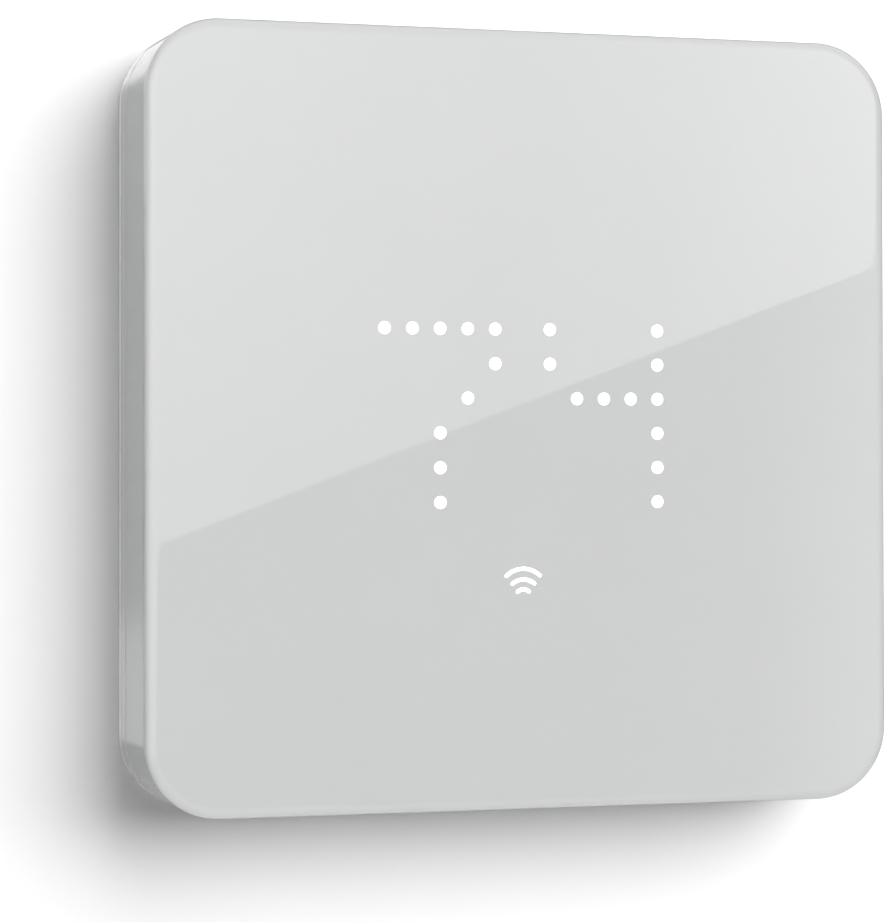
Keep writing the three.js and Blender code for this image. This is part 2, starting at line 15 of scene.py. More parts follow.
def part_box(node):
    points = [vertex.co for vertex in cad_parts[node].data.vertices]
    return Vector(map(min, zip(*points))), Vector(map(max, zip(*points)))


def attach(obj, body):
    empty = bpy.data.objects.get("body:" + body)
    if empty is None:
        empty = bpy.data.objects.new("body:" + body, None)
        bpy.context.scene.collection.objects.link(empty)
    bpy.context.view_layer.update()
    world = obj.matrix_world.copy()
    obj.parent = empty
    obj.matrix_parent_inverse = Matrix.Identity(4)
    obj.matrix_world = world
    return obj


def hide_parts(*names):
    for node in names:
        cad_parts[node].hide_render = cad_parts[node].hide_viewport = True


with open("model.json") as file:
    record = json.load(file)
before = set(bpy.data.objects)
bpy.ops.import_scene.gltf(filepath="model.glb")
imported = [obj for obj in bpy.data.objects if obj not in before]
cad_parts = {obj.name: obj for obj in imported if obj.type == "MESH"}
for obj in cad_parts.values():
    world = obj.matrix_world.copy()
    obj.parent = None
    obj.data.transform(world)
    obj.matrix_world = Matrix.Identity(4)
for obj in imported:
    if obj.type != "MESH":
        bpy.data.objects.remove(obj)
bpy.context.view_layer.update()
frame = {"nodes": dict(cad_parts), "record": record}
nodes = frame["nodes"]

MM = 0.001

# ---------------------------------------------------------------- sizes read from the frame


class Extent:
    """A CAD node's edges at rest, in millimetres of face space."""

    def __init__(self, node):
        low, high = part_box(node)
        self.left, self.right = low.x / MM, high.x / MM
        self.bottom, self.top = low.z / MM, high.z / MM
        self.back, self.front = -high.y / MM, -low.y / MM
        self.x = (self.left + self.right) / 2
        self.up = (self.bottom + self.top) / 2
        self.depth = (self.back + self.front) / 2


panel = Extent("front_panel")
band = Extent("mid_frame")
cover = Extent("rear_cover")
plate = Extent("wall_plate")
base_board = Extent("base_board")

HALF = panel.right  # half the width of the square head
CORNER_R = 9.0  # corner radius of the square
EDGE = {"inset": 1.4, "depth": 1.1}  # elliptical rounding of the front edge
WALL = 1.6  # thickness of the head's side walls
STEPS = 24  # steps in each large corner
SEAM_R = 0.08  # rounding of a shell's edges
TIGHT_R = 0.05  # rounding where two shells meet without a groove
TIGHT_GAP = 0.02  # what is left between such shells
GROOVE = 0.04  # depth of the shadow groove between the rear cover and the frame
PLATE_FRONT = 1.2  # front of the wall plate, without its hooks
PLATE_INSET = HALF - plate.right
COVER_FLOOR = 3.3  # inner face of the rear cover's back wall
COVER_SEAM = 5.1  # where the rear cover's side strip ends
SHARP_ANGLE = 32  # degrees: edges sharper than this stay sharp, or get a small rounding
LIGHT_PROUD = 0.012  # how far the lit dots stand over the panel's face, inside the CAD box

# ---------------------------------------------------------------- geometry helpers


def at(x, up, depth):
    return Vector((x, -depth, up)) * MM


def rounded_rect(half_x, half_up, radius, centre=(0.0, 0.0), steps=STEPS):
    """Outline of a rounded rectangle as (x, up) points, anticlockwise seen from the room."""
    radius = max(min(radius, half_x, half_up), 0.02)
    points = []
    for quarter in range(4):
        sign_x = (1, -1, -1, 1)[quarter]
        sign_up = (1, 1, -1, -1)[quarter]
        for step in range(steps + 1):
            angle = math.radians(90) * (quarter + step / steps)
            x = centre[0] + sign_x * (half_x - radius) + radius * math.cos(angle)
            up = centre[1] + sign_up * (half_up - radius) + radius * math.sin(angle)
            points.append((x, up))
    return points


def square(inset, steps=STEPS):
    """Outline of the head, made smaller all round by an inset."""
    return rounded_rect(HALF - inset, HALF - inset, CORNER_R - inset, steps=steps)


def circle(radius, centre=(0.0, 0.0), steps=32):
    x, up = centre
    turn = 2 * math.pi / steps
    return [(x + radius * math.cos(k * turn), up + radius * math.sin(k * turn)) for k in range(steps)]


def new_object(name, mesh_builder):
    mesh = bpy.data.meshes.new(name)
    bm = bmesh.new()
    mesh_builder(bm)
    bmesh.ops.remove_doubles(bm, verts=bm.verts, dist=1e-7)
    bmesh.ops.recalc_face_normals(bm, faces=bm.faces)
    bm.to_mesh(mesh)
    bm.free()
    mesh.shade_smooth()
    obj = bpy.data.objects.new(name, mesh)
    bpy.context.scene.collection.objects.link(obj)
    return obj


def add_loft(bm, rings, closed=False):
    """Quads between rings of points. Open lofts get a cap at each end, closed ones join up."""
    loops = [[bm.verts.new(p) for p in ring] for ring in rings]
    pairs = list(zip(loops, loops[1:]))
    if closed:
        pairs.append((loops[-1], loops[0]))
    for one, other in pairs:
        for k in range(len(one)):
            nxt = (k + 1) % len(one)
            bm.faces.new((one[k], one[nxt], other[nxt], other[k]))
    if not closed:
        bm.faces.new(loops[0])
        bm.faces.new(loops[-1])


def stack(name, layers, closed=False):
    """A piece made of outlines at depths: layers is a list of (outline, depth)."""
    rings = [[at(x, up, depth) for x, up in outline] for outline, depth in layers]
    return new_object(name, lambda bm: add_loft(bm, rings, closed))


def prism(name, outline, back, front):
    return stack(name, [(outline, back), (outline, front)])


def box(name, left, right, bottom, top, back, front):
    return prism(name, [(right, top), (left, top), (left, bottom), (right, bottom)], back, front)


def turned(name, profile, origin, axis, steps=40):
    """A piece turned around an axis: profile is a list of (radius, distance along the axis)."""
    direction = Vector(axis).normalized()
    side = direction.orthogonal().normalized()
    other = direction.cross(side)
    rings = []
    for radius, along in profile:
        centre = Vector(origin) + direction * along * MM
        outline = circle(max(radius, 0.01), steps=steps)
        rings.append([centre + (side * x + other * y) * MM for x, y in outline])
    return new_object(name, lambda bm: add_loft(bm, rings))


def arc_profile(inset_start, depth_start, radius, steps, sign, inset_radius=None):
    """Insets and depths of a quarter round from the side towards a face. sign is 1 towards the room.

    With an inset_radius the round is elliptical.
    """
    points = []
    for step in range(steps + 1):
        angle = math.radians(90) * step / steps
        inset = inset_start + (inset_radius or radius) * (1 - math.cos(angle))
        depth = depth_start + sign * radius * math.sin(angle)
        points.append((inset, depth))
    return points


def evaluated_mesh(obj):
    graph = bpy.context.evaluated_depsgraph_get()
    graph.update()
    return bpy.data.meshes.new_from_object(obj.evaluated_get(graph))


def combine(obj, tools, operation="DIFFERENCE"):
    """Cuts the tools out of obj, or joins them to it, and removes them."""
    for tool in tools:
        modifier = obj.modifiers.new(tool.name, "BOOLEAN")
        modifier.operation = operation
        modifier.solver = "EXACT"
        modifier.object = tool
    mesh = evaluated_mesh(obj)
    obj.modifiers.clear()
    obj.data = mesh
    for tool in tools:
        bpy.data.objects.remove(tool, do_unlink=True)
    mesh.shade_smooth()
    mesh.set_sharp_from_angle(angle=math.radians(SHARP_ANGLE))
    return obj


def flatten(obj):
    """Shades each large face flat up to its rounded edges."""
    weighted = obj.modifiers.new("normals", "WEIGHTED_NORMAL")
    weighted.keep_sharp = True
    return obj


def soften(obj, width, segments=2, angle=SHARP_ANGLE):
    """Small rounding on every sharp edge."""
    weld = obj.modifiers.new("weld", "WELD")
    weld.merge_threshold = 1e-6
    bevel = obj.modifiers.new("edges", "BEVEL")
    bevel.width = width * MM
    bevel.segments = segments
    bevel.limit_method = "ANGLE"
    bevel.angle_limit = math.radians(angle)
    bevel.use_clamp_overlap = True
    bevel.harden_normals = True
    return obj


def dress(obj, material, body=None, replaces=()):
    """Gives a piece its material, its body and the CAD nodes it stands for."""
    obj.data.materials.clear()
    obj.data.materials.append(material)
    if body:
        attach(obj, body)
    if replaces:
        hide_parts(*replaces)
    return obj


# ---------------------------------------------------------------- materials


class Nodes:
    """Short way to build a material's nodes."""

    def __init__(self, name):
        self.material = bpy.data.materials.new(name)
        self.material.use_nodes = True
        self.tree = self.material.node_tree
        self.shader = self.tree.nodes["Principled BSDF"]
        self.coords = self.add("ShaderNodeTexCoord").outputs["Object"]

    def add(self, kind, **settings):
        node = self.tree.nodes.new(kind)
        for key, value in settings.items():
            if key in node.inputs:
                node.inputs[key].default_value = value
            else:
                setattr(node, key, value)
        return node

    def link(self, source, target):
        self.tree.links.new(source, target)

    def noise(self, scale, detail=3.0, roughness=0.5, stretch=(1, 1, 1)):
        """Noise with a scale in features per metre."""
        mapping = self.add("ShaderNodeMapping")
        mapping.inputs["Scale"].default_value = stretch
        self.link(self.coords, mapping.inputs["Vector"])
        node = self.add("ShaderNodeTexNoise", Scale=scale, Detail=detail, Roughness=roughness)
        self.link(mapping.outputs["Vector"], node.inputs["Vector"])
        return node.outputs["Fac"]

    def ramp(self, source, low, high, colours):
        """Colour ramp from colours[0] at low to colours[1] at high."""
        node = self.add("ShaderNodeValToRGB")
        first, last = node.color_ramp.elements
        first.position, last.position = low, high
        first.color, last.color = [(*c, 1) for c in colours]
        self.link(source, node.inputs["Fac"])
        return node.outputs["Color"]

    def spread(self, source, low, high):
        """Maps 0..1 to low..high."""
        node = self.add("ShaderNodeMapRange")
        node.inputs["To Min"].default_value = low
        node.inputs["To Max"].default_value = high
        self.link(source, node.inputs["Value"])
        return node.outputs["Result"]

    def bump(self, source, strength, distance):
        node = self.add("ShaderNodeBump", Strength=strength, Distance=distance * MM)
        self.link(source, node.inputs["Height"])
        self.link(node.outputs["Normal"], self.shader.inputs["Normal"])

    def set(self, **values):
        for key, value in values.items():
            self.shader.inputs[key.replace("_", " ")].default_value = value


def shade(colour, factor):
    return tuple(min(c * factor, 1.0) for c in colour)


def plastic(
    name, colour, roughness, mottle=0.03, grain=4000, relief=0.01, coat=0.0, coat_roughness=0.03, level=0.5
):
    """Moulded plastic: a faint cloudy tone, fine grain in the gloss, and a little relief."""
    n = Nodes(name)
    cloud = n.noise(60, detail=2)
    tones = (shade(colour, 1 - mottle), shade(colour, 1 + mottle))
    n.link(n.ramp(cloud, 0.3, 0.7, tones), n.shader.inputs["Base Color"])
    fine = n.noise(grain, detail=2)
    n.link(n.spread(fine, roughness * 0.85, roughness * 1.15), n.shader.inputs["Roughness"])
    n.bump(fine, 0.25, relief)
    n.set(IOR=1.49, Specular_IOR_Level=level)
    if coat:
        n.set(Coat_Weight=coat, Coat_Roughness=coat_roughness, Coat_IOR=1.5)
    return n.material


def metal(name, colour, roughness, stretch=(1, 1, 1), grain=3000):
    """Plated or brushed sheet metal with fine scratches."""
    n = Nodes(name)
    fine = n.noise(grain, detail=4, stretch=stretch)
    tones = (shade(colour, 0.86), shade(colour, 1.1))
    n.link(n.ramp(fine, 0.25, 0.75, tones), n.shader.inputs["Base Color"])
    n.link(n.spread(fine, roughness * 0.7, roughness * 1.4), n.shader.inputs["Roughness"])
    n.bump(fine, 0.2, 0.01)
    n.set(Metallic=1.0)
    return n.material


def circuit_board(name, dark, light):
    """Solder mask over copper tracks that run straight and turn at right angles."""
    n = Nodes(name)
    turn = n.add("ShaderNodeMapping")
    turn.inputs["Rotation"].default_value = (math.radians(90), 0, 0)
    n.link(n.coords, turn.inputs["Vector"])
    tracks = n.add("ShaderNodeTexBrick", Scale=150.0)
    tracks.inputs["Mortar Size"].default_value = 0.035
    tracks.inputs["Brick Width"].default_value = 0.9
    tracks.inputs["Row Height"].default_value = 0.17
    n.link(turn.outputs["Vector"], tracks.inputs["Vector"])
    ramp = n.ramp(tracks.outputs["Fac"], 0.3, 0.7, (dark, light))
    n.link(ramp, n.shader.inputs["Base Color"])
    n.link(n.spread(n.noise(2500), 0.28, 0.42), n.shader.inputs["Roughness"])
    n.bump(tracks.outputs["Fac"], 0.4, 0.03)
    n.set(Coat_Weight=0.3, Coat_Roughness=0.15)
    return n.material


# ---------------------------------------------------------------- the materials themselves

SHELL_FINISH = {"mottle": 0.012, "grain": 2500, "relief": 0.002, "coat": 0.6}

front_gloss = plastic(
    "front_gloss",
    (0.475, 0.48, 0.48),
    0.45,
    mottle=0.006,
    grain=2500,
    relief=0.002,
    coat=1.0,
    coat_roughness=0.012,
    level=0.05,
)
side_gloss = plastic("side_gloss", (0.46, 0.472, 0.476), 0.22, **SHELL_FINISH)
# The rear cover is the side band's white plastic painted lighter: painted light that offsets the shade near
# the wall.
cover_gloss_painted_light = plastic("cover_gloss_painted_light", (0.53, 0.545, 0.55), 0.22, **SHELL_FINISH)
plate_matte = plastic("plate_matte", (0.64, 0.65, 0.65), 0.25, grain=5000, coat=0.4, coat_roughness=0.06)
black_plastic = plastic("black_plastic", (0.014, 0.014, 0.016), 0.45, mottle=0.15, grain=5000, relief=0.02)
terminal_grey = plastic("terminal_grey", (0.24, 0.26, 0.27), 0.42, mottle=0.04, grain=5000, relief=0.02)
button_orange = plastic("button_orange", (0.68, 0.19, 0.03), 0.38, mottle=0.04, grain=5000, relief=0.01)
touch_film = plastic("touch_film", (0.46, 0.21, 0.05), 0.3, mottle=0.08, grain=1500, relief=0.005)
diffuser_white = plastic("diffuser_white", (0.86, 0.86, 0.85), 0.55, mottle=0.02)
board_green = circuit_board("board_green", (0.010, 0.075, 0.032), (0.022, 0.13, 0.055))
steel = metal("steel", (0.52, 0.53, 0.55), 0.28, stretch=(1, 6, 1))
nickel = metal("nickel", (0.62, 0.60, 0.56), 0.22, stretch=(5, 1, 1))


def light_material(name, strength):
    """White light that comes through the panel: an even glow with the faint grain of a diffuser."""
    n = Nodes(name)
    grain = n.noise(9000, detail=2)
    glow = n.ramp(grain, 0.2, 0.8, ((0.97, 0.985, 1.0), (1.0, 1.0, 1.0)))
    n.link(glow, n.shader.inputs["Emission Color"])
    n.link(glow, n.shader.inputs["Base Color"])
    n.link(n.spread(grain, 0.28, 0.36), n.shader.inputs["Roughness"])
    n.set(Emission_Strength=strength, Coat_Weight=1.0, Coat_Roughness=0.012)
    return n.material


def cell_jacket_material():
    """Printed jacket of a cell: a dark body and a plain band near one end."""
    n = Nodes("cell_jacket")
    parts = n.add("ShaderNodeSeparateXYZ")
    n.link(n.coords, parts.inputs["Vector"])
    ramp = n.add("ShaderNodeValToRGB")
    ramp.color_ramp.interpolation = "CONSTANT"
    stops = [(0.0, (0.045, 0.068, 0.095)), (0.62, (0.55, 0.34, 0.10)), (0.66, (0.045, 0.068, 0.095))]
    ramp.color_ramp.elements.remove(ramp.color_ramp.elements[1])
    ramp.color_ramp.elements[0].color = (*stops[0][1], 1)
    for position, colour in stops[1:]:
        ramp.color_ramp.elements.new(position).color = (*colour, 1)
    height = n.add("ShaderNodeMapRange")
    height.inputs["From Min"].default_value = -22 * MM
    height.inputs["From Max"].default_value = 22 * MM
    n.link(parts.outputs["Z"], height.inputs["Value"])
    n.link(height.outputs["Result"], ramp.inputs["Fac"])
    n.link(ramp.outputs["Color"], n.shader.inputs["Base Color"])
    n.link(n.spread(n.noise(1500), 0.22, 0.34), n.shader.inputs["Roughness"])
    n.set(Metallic=0.35, Coat_Weight=0.6, Coat_Roughness=0.08)
    return n.material


light_white = light_material("light_white", 1.0)
cell_jacket = cell_jacket_material()

# ---------------------------------------------------------------- the head's shells


def front_panel():
    """Glossy front: one plate with an elliptical front edge and a shallow recess behind it."""
    front = panel.front - LIGHT_PROUD
    recess = panel.back + 0.6
    layers = [(square(3.6), recess), (square(3.6), panel.back)]
    rear_edge = arc_profile(0, panel.back + TIGHT_R, TIGHT_R, 3, -1)
    layers += [(square(inset), depth) for inset, depth in reversed(rear_edge)]
    front_edge = arc_profile(0, front - EDGE["depth"], EDGE["depth"], 24, 1, EDGE["inset"])
    layers += [(square(inset), depth) for inset, depth in front_edge]
    layers.append((square(EDGE["inset"] + 0.4), front))
    return stack("front_panel_fine", layers)


def shell_band(name, back, front, inner_inset, back_radius, front_radius):
    """A wall along the head's outline, rounded at both outer edges."""
    layers = [(square(inner_inset), front), (square(inner_inset), back)]
    layers += [(square(i), d) for i, d in reversed(arc_profile(0, back + back_radius, back_radius, 5, -1))]
    layers += [(square(i), d) for i, d in arc_profile(0, front - front_radius, front_radius, 5, 1)]
    return stack(name, layers, closed=True)


SCREW_AT = 36.5
QUADRANTS = [(-1, 1), (1, 1), (-1, -1), (1, -1)]


def posts(name, radius, back, front):
    """A cylinder at each of the four screws."""
    return [
        prism(f"{name}{k}", circle(radius, (i * SCREW_AT, j * SCREW_AT)), back, front)
        for k, (i, j) in enumerate(QUADRANTS)
    ]


WEB_BACK = 13.9
WINDOW_GAP = 0.6  # around the display's light box
AIR_SLOTS, AIR_SLOT_PITCH, AIR_SLOT_DEPTH = 9, 4.0, 10.0


def air_slots():
    """Cutters for the rows of slots in the top and the bottom of the side band."""
    outline = rounded_rect(0.7, 2.5, 0.65, steps=6)
    cutters = []
    for k in range(AIR_SLOTS):
        x_middle = AIR_SLOT_PITCH * (k - (AIR_SLOTS - 1) / 2)
        for side in (-1, 1):
            outside = [at(x_middle + x, side * (HALF + 2), AIR_SLOT_DEPTH + depth) for x, depth in outline]
            inside = [p - Vector((0, 0, side * 6 * MM)) for p in outside]
            cutters.append(new_object(f"slot{k}{side}", lambda bm, r=(outside, inside): add_loft(bm, r)))
    return cutters


def mid_frame():
    """Side band with its web, screw bosses and air slots."""
    body = shell_band("mid_frame_fine", band.back, panel.back - TIGHT_GAP, WALL, SEAM_R, TIGHT_R)
    web = prism("web", square(WALL - 0.4), WEB_BACK, band.front - 0.1)
    combine(body, [web, *posts("boss", 3.0, 11.5, WEB_BACK + 0.5)], "UNION")
    block = Extent("display_baffle")
    left, right = block.left - WINDOW_GAP, block.right + WINDOW_GAP
    bottom, top = block.bottom - WINDOW_GAP, block.top + WINDOW_GAP
    window = box("window", left, right, bottom, top, 12, 17)
    return combine(body, [window, *posts("hole", 1.5, 11, 13.1), *air_slots()])


BAY_NEAR, BAY_FAR, BAY_TOP = 21, 43.8, 27  # outer faces of a battery bay's partitions
BAY_PARTITION = 1.0
BAY_FRONT = 13.6
ROOT = 0.5  # how far the ribs and bosses reach into the back wall
OVERLAP = 0.1  # keeps the faces of joined pieces from lying in one plane


def cover_shell():
    """The rear cover's side strip and back wall."""
    layers = [(WALL, COVER_FLOOR), (WALL, COVER_SEAM)]
    layers += reversed(arc_profile(0, COVER_SEAM - SEAM_R, SEAM_R, 5, 1))
    layers += arc_profile(0, cover.back + SEAM_R, SEAM_R, 5, -1)
    return stack("rear_cover_fine", [(square(i), d) for i, d in layers])


def cover_rings():
    """The floor of the shadow groove, and the lip that centres the frame."""
    outer, inner = GROOVE, WALL - 0.3
    back, front = COVER_SEAM - 0.5, band.back - TIGHT_GAP
    groove = [(inner, back), (outer, back), (outer, front), (inner, front)]
    outer, inner = WALL + 0.3, WALL + 1.5
    back, front, chamfer = COVER_FLOOR - 0.2, 7.5, 0.2
    lip = [
        (inner, back),
        (outer, back),
        (outer, front - chamfer),
        (outer + chamfer, front),
        (inner, front),
    ]
    return [
        stack(name, [(square(i), d) for i, d in layers], closed=True)
        for name, layers in (("lip", lip), ("groove_floor", groove))
    ]


def bay_partitions():
    """The three upright walls around each battery bay."""
    root = COVER_FLOOR - ROOT
    inner = BAY_TOP - BAY_PARTITION
    walls = []
    for side in (-1, 1):
        near, far = sorted((side * BAY_NEAR, side * (BAY_NEAR + BAY_PARTITION)))
        up = BAY_TOP - OVERLAP
        walls.append(box(f"partition{side}", near, far, -up, up, root, BAY_FRONT))
        left, right = sorted((side * (BAY_NEAR + BAY_PARTITION / 2), side * BAY_FAR))
        for name, low, high in (("lower", -BAY_TOP, -inner), ("upper", inner, BAY_TOP)):
            walls.append(box(f"{name}{side}", left, right, low, high, root, BAY_FRONT - OVERLAP / 2))
    return walls


def rear_cover():
    """Side strip, back wall with its windows, battery bays and screw bosses."""
    bosses = posts("boss", 3.8, COVER_FLOOR - ROOT, 9.3)
    body = combine(cover_shell(), [*cover_rings(), *bosses, *bay_partitions()], "UNION")
    back, front = cover.back - 1, COVER_FLOOR + 1
    board = base_board
    half_w, half_h = (board.right - board.left) / 2 + 0.5, (board.top - board.bottom) / 2 + 0.5
    tools = [prism("terminals", rounded_rect(half_w, half_h, 0.8, (board.x, board.up), 6), back, front)]
    for side in (-1, 1):
        tools.append(prism(f"bay{side}", rounded_rect(11.0, 25.9, 0.5, (side * 33.1, 0), 4), back, front))
        tools.append(prism(f"screw{side}", circle(4.5, (0, side * 33), 40), back, front))
    for k, (i, j) in enumerate(QUADRANTS):
        tools.append(prism(f"hook{k}", rounded_rect(3.5, 1.5, 0.4, (i * 26, j * 42.2), 4), back, front))
    reset = Extent("reset_button")
    tools.append(prism("reset", circle(1.9, (reset.x, reset.up)), back, front))
    tools += posts("bore", 2.8, back, 4.2)
    tools += posts("hole", 1.5, back, 10)
    return combine(body, tools)


# ---------------------------------------------------------------- wall plate


def wall_plate():
    """Thin plate with its wire opening, mounting slots, snap hooks and ribs."""
    back_edge, front_edge = 0.05, 0.45
    layers = [*reversed(arc_profile(0, back_edge, back_edge, 4, -1))]
    layers += arc_profile(0, PLATE_FRONT - front_edge, front_edge, 8, 1)
    body = stack("wall_plate_fine", [(square(PLATE_INSET + i), d) for i, d in layers])
    joined = []
    for k, (i, j) in enumerate(QUADRANTS):
        x, inner, outer, top = i * 26, 41.6, 42.8, plate.front
        profile = [(inner, 1.0), (outer, 1.0), (outer, top - 1.6)]
        profile += [(outer + 0.5, top - 1.2), (outer, top), (inner, top)]
        ends = [[at(x + half, j * up, depth) for up, depth in profile] for half in (-3, 3)]
        joined.append(new_object(f"hook{k}", lambda bm, r=ends: add_loft(bm, r)))
        joined.append(box(f"rib{k}", i * 32.9 - 9, i * 32.9 + 9, j * 14 - 0.7, j * 14 + 0.7, 1.0, 1.9))
    for x in (-17.6, 17.6):
        joined.append(prism("stake", circle(1, (x, -9.4)), 1.0, 3.0))
    rim_outer, rim_inner, rim_front = PLATE_INSET + 1.4, PLATE_INSET + 2.0, cover.back - 0.05
    rim_layers = [(rim_inner, 1.0), (rim_outer, 1.0), (rim_outer, rim_front), (rim_inner, rim_front)]
    joined.append(stack("rim", [(square(i), d) for i, d in rim_layers], closed=True))
    combine(body, joined, "UNION")
    tools = [
        prism("wires", rounded_rect(8, 8, 2.5, (0, 9.5), 8), -1, 2.2),
        prism("slot_up", rounded_rect(4.5, 2, 1.99, (0, 33), 10), -1, 2.2),
        prism("slot_down", rounded_rect(2, 4.5, 1.99, (0, -33), 10), -1, 2.2),
    ]
    return combine(body, tools)


# ---------------------------------------------------------------- display

DOT_PITCH = (3.463, 4.166)
DOT_ORIGIN = (-18.17, 10.80)  # centre of the upper left dot
DOT_R = 0.76
SEVEN = ["#####", "....#", "...#.", "..#..", "..#..", "..#.."]
FOUR = ["#...#", "#...#", ".####", "....#", "....#", "....#"]
SYMBOL_X = -0.83
SYMBOL_STROKE = 0.47
SYMBOL_ARCS = [(-21.55, 1.04, 43), (-21.52, 2.19, 39.5), (-21.16, 3.12, 43)]  # centre, radius, half angle


def lit_dots():
    """Every lit dot of the two digits, each a thin disc of light on the panel's face."""
    back, front = panel.front - LIGHT_PROUD - 0.05, panel.front
    discs = []
    for first_column, rows in ((0, SEVEN), (6, FOUR)):
        for row, marks in enumerate(rows):
            for column, mark in enumerate(marks):
                if mark == "#":
                    x = DOT_ORIGIN[0] + (first_column + column) * DOT_PITCH[0]
                    discs.append((x, DOT_ORIGIN[1] - row * DOT_PITCH[1]))

    def build(bm):
        for centre in discs:
            layers = [(DOT_R, back), (DOT_R, front - 0.006), (DOT_R - 0.01, front)]
            add_loft(bm, [[at(x, up, depth) for x, up in circle(r, centre, 36)] for r, depth in layers])

    return new_object("lit_dots", build)


def arc_band(centre, radius, half_angle, stroke, steps=28):
    """Outline of a round-ended arc that opens downwards."""
    points = []
    for side, r in ((1, radius + stroke / 2), (-1, radius - stroke / 2)):
        for k in range(steps + 1):
            angle = math.radians(90) - side * half_angle * (1 - 2 * k / steps)
            points.append((centre[0] + r * math.cos(angle), centre[1] + r * math.sin(angle)))
        end_angle = math.radians(90) + side * half_angle
        end = (centre[0] + radius * math.cos(end_angle), centre[1] + radius * math.sin(end_angle))
        start = end_angle if side > 0 else end_angle + math.pi
        for k in range(1, 10):
            angle = start + math.pi * k / 10
            points.append((end[0] + stroke / 2 * math.cos(angle), end[1] + stroke / 2 * math.sin(angle)))
    return points


def wireless_symbol():
    """Three nested arcs of light below the digits."""
    back, front = panel.front - LIGHT_PROUD - 0.05, panel.front

    def build(bm):
        for up, radius, half_angle in SYMBOL_ARCS:
            outline = arc_band((SYMBOL_X, up), radius, math.radians(half_angle), SYMBOL_STROKE)
            add_loft(bm, [[at(x, up, depth) for x, up in outline] for depth in (back, front)])

    return new_object("wireless_symbol", build)


# ---------------------------------------------------------------- cells, contacts and screws


def cell(name):
    """Cylindrical cell with crimped ends and its positive cap, at its CAD node's place."""
    e = Extent(name)
    up = 1 if name.endswith("inner") else -1
    half = (e.top - e.bottom) / 2
    r = (e.right - e.left) / 2
    can_top = half - 0.8
    profile = [
        (3.4, -half), (3.6, -half), (3.7, -half + 0.15), (4.6, -half + 0.15), (r - 0.3, -half + 0.05),
        (r - 0.08, -half + 0.25), (r, -half + 0.6), (r, can_top - 0.6), (r - 0.08, can_top - 0.25),
        (r - 0.35, can_top - 0.05), (r - 0.8, can_top - 0.02), (r - 1.1, can_top - 0.3), (2.4, can_top - 0.3),
        (2.2, can_top - 0.2), (1.95, can_top), (1.9, half - 0.15), (1.75, half), (0.9, half),
    ]
    return turned(name + "_fine", profile, at(e.x, e.up, e.depth), (0, 0, up), 56)


def contact_spring(name, centre, end):
    """Conical wire spring that points from a contact plate into the bay."""
    turns, wire, steps_per_turn, sides = 3.5, 0.28, 24, 8
    total = int(turns * steps_per_turn)
    rings = []
    for k in range(total + 1):
        t = k / total
        angle = 2 * math.pi * turns * t
        radius = 3.1 - 1.5 * t
        along = -end * (0.2 + 2.3 * t)
        middle = Vector((radius * math.cos(angle), radius * math.sin(angle), along))
        outward = Vector((math.cos(angle), math.sin(angle), 0))
        ring = []
        for s in range(sides):
            a = 2 * math.pi * s / sides
            around = outward * math.cos(a) + Vector((0, 0, math.sin(a)))
            ring.append(centre + (middle + wire * around) * MM)
        rings.append(ring)
    return new_object(name, lambda bm: add_loft(bm, rings))


def contact(name, cell_names, end):
    """Flat contact plate with a dome and a spring for each cell it touches. end is 1 at the top of the bay.
    """
    e = Extent(name)
    outer = e.top if end > 0 else e.bottom
    inner = outer - end * 0.4
    low, high = sorted((inner, outer))
    body = box(name + "_fine", e.left, e.right, low, high, e.back, e.front)
    cells = [Extent(cell_name) for cell_name in cell_names]
    places = [at(c.x, inner, c.depth) for c in cells]
    dome = [(1.7, -0.1), (1.5, 0.35), (0.9, 0.5)]
    domes = [turned(f"dome{k}", dome, place, (0, 0, -end), 24) for k, place in enumerate(places)]
    combine(body, domes, "UNION")
    merge(body, [contact_spring(f"spring{k}", place, end) for k, place in enumerate(places)])
    return body


def merge(obj, others):
    """Adds the other objects' meshes to obj as loose parts."""
    bm = bmesh.new()
    bm.from_mesh(obj.data)
    for other in others:
        bm.from_mesh(other.data)
        bpy.data.objects.remove(other, do_unlink=True)
    bm.to_mesh(obj.data)
    bm.free()
    obj.data.shade_smooth()


def cover_screw(name):
    """Pan-head screw with a cross recess, entering from the back."""
    e = Extent(name)
    r = (e.right - e.left) / 2
    back, under, tip = e.back, e.back + 1.6, e.front
    profile = [
        (0.4, back), (r * 0.55, back + 0.05), (r * 0.82, back + 0.3), (r * 0.97, back + 0.8), (r, back + 1.2),
        (r, under), (1.2, under),
    ]
    thread_pitch, crest, root = 0.9, 1.2, 0.9
    depth = under + 0.6
    while depth + thread_pitch < tip - 1:
        profile += [(root, depth), (crest, depth + thread_pitch * 0.5), (root, depth + thread_pitch)]
        depth += thread_pitch
    profile += [(root * 0.9, tip - 0.6), (0.2, tip)]
    screw = turned(name + "_fine", profile, at(e.x, e.up, 0), (0, -1, 0), 40)
    cross = [
        box("slot_a", e.x - 1.3, e.x + 1.3, e.up - 0.32, e.up + 0.32, back - 1, back + 0.95),
        box("slot_b", e.x - 0.32, e.x + 0.32, e.up - 1.3, e.up + 1.3, back - 1, back + 0.95),
    ]
    return combine(screw, cross)


# ---------------------------------------------------------------- making the pieces

front_piece = dress(front_panel(), front_gloss, "head", ["front_panel"])
dress(flatten(mid_frame()), side_gloss, "head", ["mid_frame"])
dress(flatten(rear_cover()), cover_gloss_painted_light, "head", ["rear_cover"])
dress(lit_dots(), light_white, "head")
dress(wireless_symbol(), light_white, "head")
plate_piece = dress(flatten(wall_plate()), plate_matte, "wall_side", ["wall_plate"])

